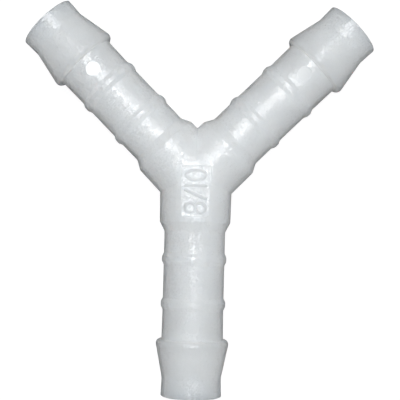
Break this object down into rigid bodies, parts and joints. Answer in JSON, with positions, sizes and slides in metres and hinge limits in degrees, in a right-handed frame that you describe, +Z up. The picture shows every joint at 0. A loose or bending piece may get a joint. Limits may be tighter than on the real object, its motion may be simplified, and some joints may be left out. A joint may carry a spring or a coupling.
{
  "type": "y hose connector",
  "caption": "Moulded plastic Y connector with equal barbed legs for 8 mm hose, bored right through.",
  "frame": {"origin": "on the surface that the connector lies on, under the middle of its bounding box", "axes": "+Z up, away from the surface; the stem points along -Y, and the two arms point to the +Y side at 45 degrees to it, with their axes level"},
  "size_m": [0.0466, 0.0524, 0.0096],
  "materials": {
    "white_plastic": "natural white moulding plastic with a soft sheen"
  },
  "bodies": {
    "root": {"y_connector": "white_plastic"}
  },
  "joints": []
}
